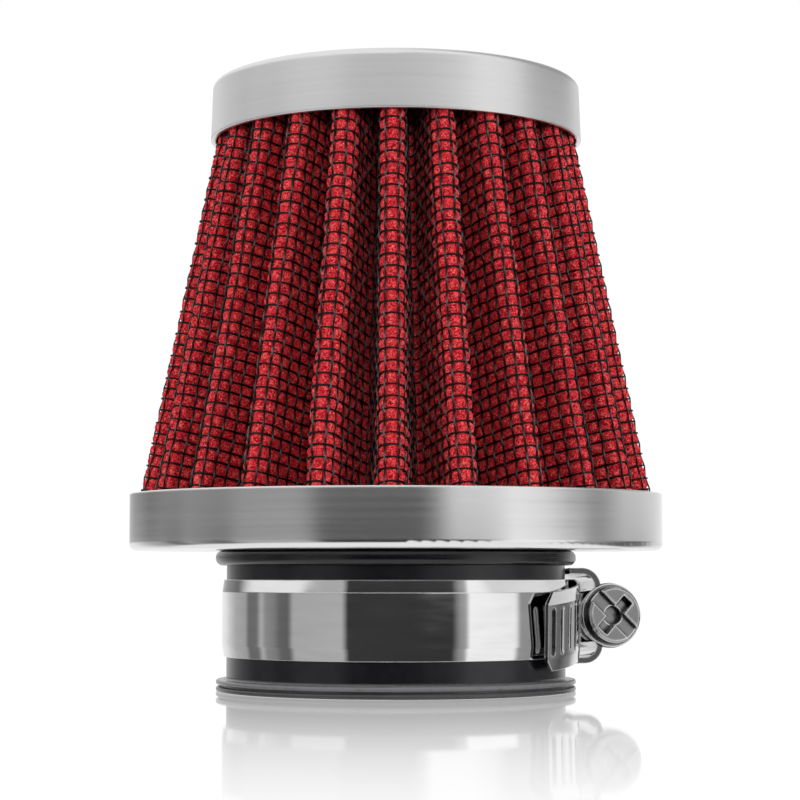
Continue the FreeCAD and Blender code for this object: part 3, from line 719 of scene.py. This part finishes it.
def make_world():
    """White to the camera, a dim even fill for cloth, and light and dark panels for metal to reflect."""
    world = bpy.data.worlds.new("studio")
    bpy.context.scene.world = world
    world.use_nodes = True
    tree = world.node_tree
    output = tree.nodes["World Output"]
    fill = tree.nodes["Background"]
    fill.inputs["Color"].default_value = (1, 1, 1, 1)
    fill.inputs["Strength"].default_value = 0.115

    coordinates = tree.nodes.new("ShaderNodeTexCoord")
    split = tree.nodes.new("ShaderNodeSeparateXYZ")
    tree.links.new(coordinates.outputs["Generated"], split.inputs["Vector"])
    backwards = add_math(tree, "MULTIPLY", split.outputs["Y"], -1.0)
    angle = add_math(tree, "ARCTAN2", split.outputs["X"], backwards)
    fraction = add_math(tree, "ADD", add_math(tree, "DIVIDE", angle, 2 * math.pi), 0.5)
    rise = add_math(tree, "MULTIPLY", add_math(tree, "ARCSINE", split.outputs["Z"]), 180 / math.pi)

    value = GROUND
    for low, high, panels in PATTERNS:
        stops = [(degrees / 360 + 0.5, brightness) for degrees, brightness in panels]
        pattern = add_ramp(tree, fraction, stops).outputs["Color"]
        value = blend_values(tree, add_step(tree, rise, low, high), value, pattern)

    studio = tree.nodes.new("ShaderNodeBackground")
    tree.links.new(value, studio.inputs["Strength"])
    backdrop = tree.nodes.new("ShaderNodeBackground")
    backdrop.inputs["Color"].default_value = (1, 1, 1, 1)
    backdrop.inputs["Strength"].default_value = WHITE
    light_path = tree.nodes.new("ShaderNodeLightPath")
    reflected = mix_shaders(tree, light_path.outputs["Is Glossy Ray"], fill.outputs["Background"],
                            studio.outputs["Background"])
    seen = mix_shaders(tree, light_path.outputs["Is Camera Ray"], reflected, backdrop.outputs["Background"])
    tree.links.new(seen, output.inputs["Surface"])


# The height that the soft boxes face.
LIGHT_AIM = 0.05


def make_light(name, azimuth, distance, height, width, tall, power):
    """A soft box that faces the pack, at an angle from the camera's side towards +X."""
    light = bpy.data.lights.new(name, "AREA")
    light.shape = "RECTANGLE"
    light.size = width
    light.size_y = tall
    light.energy = power
    lamp = bpy.data.objects.new(name, light)
    angle = math.radians(azimuth)
    lamp.location = (distance * math.sin(angle), -distance * math.cos(angle), height)
    pitch = math.atan2(distance, height - LIGHT_AIM)
    lamp.rotation_euler = (pitch, 0.0, angle)
    lamp.visible_glossy = False
    lamp.visible_camera = False
    bpy.context.scene.collection.objects.link(lamp)


def paint_nodes():
    """Materials for the CAD nodes that show, each with the angle in degrees that counts as a sharp edge."""
    cap = satin_material("satin_cap", 0.34)
    ring = satin_material("satin_ring", 0.18)
    strip = steel_material("stainless_strip", 0.8, 0.05)
    housing = steel_material("bright_housing", 0.75, 0.1, edge_width=0.2 * MM, shaded_direction=SCREW_AXIS)
    screw = steel_material("plated_screw", 0.25, 0.22, edge_width=0.45 * MM)
    resin = resin_material()
    rubber = rubber_material()
    paint_node("top_cap", cap, 35)
    paint_node("base_ring", ring, 35)
    paint_node("cap_resin", resin, 30)
    paint_node("base_resin", resin, 30)
    paint_node("rubber_neck", rubber, 35)
    paint_node("clamp_band", strip, 6.5)
    paint_node("clamp_housing", housing, 25)
    paint_node("clamp_screw", screw, 25)


def make_cloths():
    """The woven wire and the gauze of the pack."""
    # The third grey of each wire is the colour of the painted glint on its crowns.
    black = wire_material("black_wire", 0.003, 0.009, glint_grey=0.14, roughness=0.4, metallic=0.0)
    shine = wire_material("bare_wire", 0.5, 0.65, glint_grey=0.7, roughness=0.35, metallic=1.0)
    red = gauze_material()
    make_wire_cloth(("wire_cloth_uprights", "wire_cloth_rounds"), "outer_wire_mesh", black,
                    CELLS_ROUND, CELL_HEIGHT, depth=0.0)
    make_wire_cloth(("inner_cloth_uprights", "inner_cloth_rounds"), "inner_wire_mesh", shine,
                    INNER_CELLS_ROUND, INNER_CELL_HEIGHT, depth=INNER_WIRE_DEPTH)
    make_outer_gauze(red)
    make_inner_gauze(red)


def make_lights():
    make_light("left_box", azimuth=-62, distance=0.55, height=0.10, width=0.30, tall=0.60, power=3.0)
    make_light("right_box", azimuth=58, distance=0.55, height=0.10, width=0.30, tall=0.60, power=3.0)
    make_light("front_box", azimuth=4, distance=0.75, height=0.16, width=0.18, tall=0.18, power=1.2)
    make_light("back_box", azimuth=178, distance=0.75, height=0.30, width=0.30, tall=0.30, power=2.2)


paint_nodes()
make_cloths()
make_camera()
make_floor()
make_world()
make_lights()
bpy.context.scene.view_settings.view_transform = "Standard"
